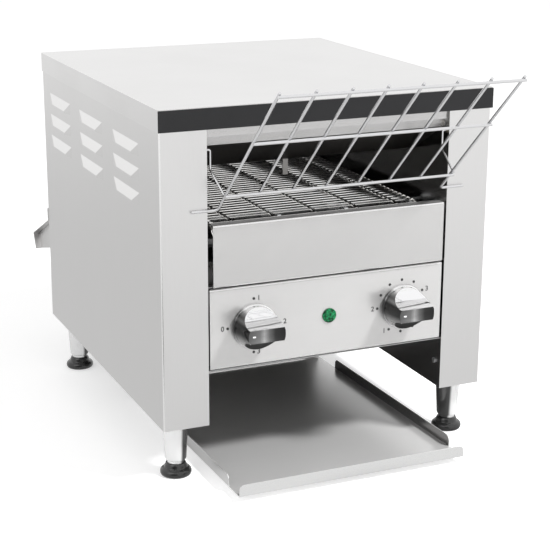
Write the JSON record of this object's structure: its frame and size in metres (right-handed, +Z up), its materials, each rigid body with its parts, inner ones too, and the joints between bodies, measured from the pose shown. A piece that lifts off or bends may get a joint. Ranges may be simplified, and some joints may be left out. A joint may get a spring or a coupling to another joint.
{
  "type": "conveyor toaster",
  "caption": "Countertop conveyor toaster with a wire belt, lift-up bread rack at the front, slide-out toast tray, two knobs, indicator lamp and tall legs",
  "frame": {"origin": "centre of the overall box in plan, on the table under the feet", "axes": "+X to the right seen from the front, +Y from the front to the back, +Z up"},
  "size_m": [0.3712, 0.6451, 0.4239],
  "materials": {
    "panel_steel": "brushed, satin",
    "cover_steel": "brushed, satin",
    "trim_black": "satin black enamel",
    "wall_steel": "polished, heat darkened",
    "reflector_steel": "bright, heat darkened",
    "inner_steel": "mill finish",
    "chrome": "polished",
    "rack_chrome": "polished wire",
    "belt_steel": "bright drawn wire",
    "tray_steel": "brushed, satin",
    "rubber_black": "matt",
    "ceramic_white": "unglazed",
    "element_tube": "dark oxidised sheath",
    "bush_bronze": "sintered, matt",
    "motor_paint": "grey enamel",
    "black_plastic": "matt",
    "lens_green": "clear green, faceted",
    "board_green": "circuit board",
    "zinc_steel": "zinc plated"
  },
  "bodies": {
    "casing": {"left_side_panel": "panel_steel", "right_side_panel": "panel_steel", "left_inner_wall": "wall_steel", "right_inner_wall": "wall_steel", "left_base_plate": "inner_steel", "right_base_plate": "inner_steel", "top_cover": "cover_steel", "top_front_trim": "trim_black", "back_panel": "panel_steel", "rear_air_deflector": "panel_steel", "casing_screws": "zinc_steel", "front_apron": "panel_steel", "control_panel": "panel_steel", "control_box": "inner_steel", "header": "panel_steel", "upper_elements": "element_tube", "lower_elements": "element_tube", "element_holders": "ceramic_white", "upper_reflector": "reflector_steel", "lower_reflector": "reflector_steel", "wire_belt": "belt_steel", "shaft_bushes": "bush_bronze", "belt_rest": "zinc_steel", "drive_chain": "inner_steel", "gear_motor": "motor_paint", "motor_bracket": "inner_steel", "fan_frame": "black_plastic", "fan_guard": "rack_chrome", "cord_gland": "black_plastic", "speed_board": "board_green", "mode_switch": "black_plastic", "speed_control": "black_plastic", "indicator_lens": "lens_green", "indicator_body": "black_plastic", "hinge_bushes": "bush_bronze", "toast_chute": "wall_steel", "front_left_leg": "chrome", "front_left_foot": "rubber_black", "front_right_leg": "chrome", "front_right_foot": "rubber_black", "rear_left_leg": "chrome", "rear_left_foot": "rubber_black", "rear_right_leg": "chrome", "rear_right_foot": "rubber_black"},
    "rack": {"bread_rack": "rack_chrome", "rack_hooks": "rack_chrome"},
    "tray": {"toast_tray": "tray_steel", "tray_bumpers": "rubber_black"},
    "mode_control": {"mode_knob": "chrome", "mode_shaft": "inner_steel"},
    "speed_setting": {"speed_knob": "chrome", "speed_shaft": "inner_steel"},
    "drive": {"drive_shaft": "inner_steel", "drive_sprockets": "zinc_steel", "chain_wheel": "zinc_steel"},
    "idler": {"front_shaft": "inner_steel", "front_sprockets": "zinc_steel"},
    "motor_output": {"motor_output_shaft": "inner_steel", "motor_sprocket": "zinc_steel"},
    "fan": {"fan_rotor": "black_plastic"}
  },
  "joints": [
    {"name": "rack_lift", "type": "hinge", "parent": "casing", "child": "rack", "pos_m": [0, -0.16622, 0.344], "axis": [-1, 0, 0], "range_deg": [0, 130]},
    {"name": "tray_slide", "type": "slide", "parent": "casing", "child": "tray", "axis": [0, -1, 0], "range_m": [0, 0.28]},
    {"name": "mode_turn", "type": "hinge", "parent": "casing", "child": "mode_control", "pos_m": [-0.0845, -0.17032, 0.1603], "axis": [0, 1, 0], "range_deg": [0, 270]},
    {"name": "speed_turn", "type": "hinge", "parent": "casing", "child": "speed_setting", "pos_m": [0.0845, -0.17032, 0.1603], "axis": [0, 1, 0], "range_deg": [0, 300]},
    {"name": "drive_spin", "type": "hinge", "parent": "casing", "child": "drive", "pos_m": [0, 0.18078, 0.239], "axis": [-1, 0, 0], "continuous": true},
    {"name": "idler_spin", "type": "hinge", "parent": "casing", "child": "idler", "pos_m": [0, -0.12522, 0.239], "axis": [-1, 0, 0], "continuous": true},
    {"name": "motor_spin", "type": "hinge", "parent": "casing", "child": "motor_output", "pos_m": [0.144, 0.14678, 0.13], "axis": [-1, 0, 0], "continuous": true},
    {"name": "fan_spin", "type": "hinge", "parent": "casing", "child": "fan", "pos_m": [-0.06, 0.23378, 0.11], "axis": [0, 1, 0], "continuous": true}
  ],
  "couplings": [
    {"joint": "idler_spin", "follows": "drive_spin", "ratio": 1},
    {"joint": "motor_spin", "follows": "drive_spin", "ratio": 2}
  ]
}
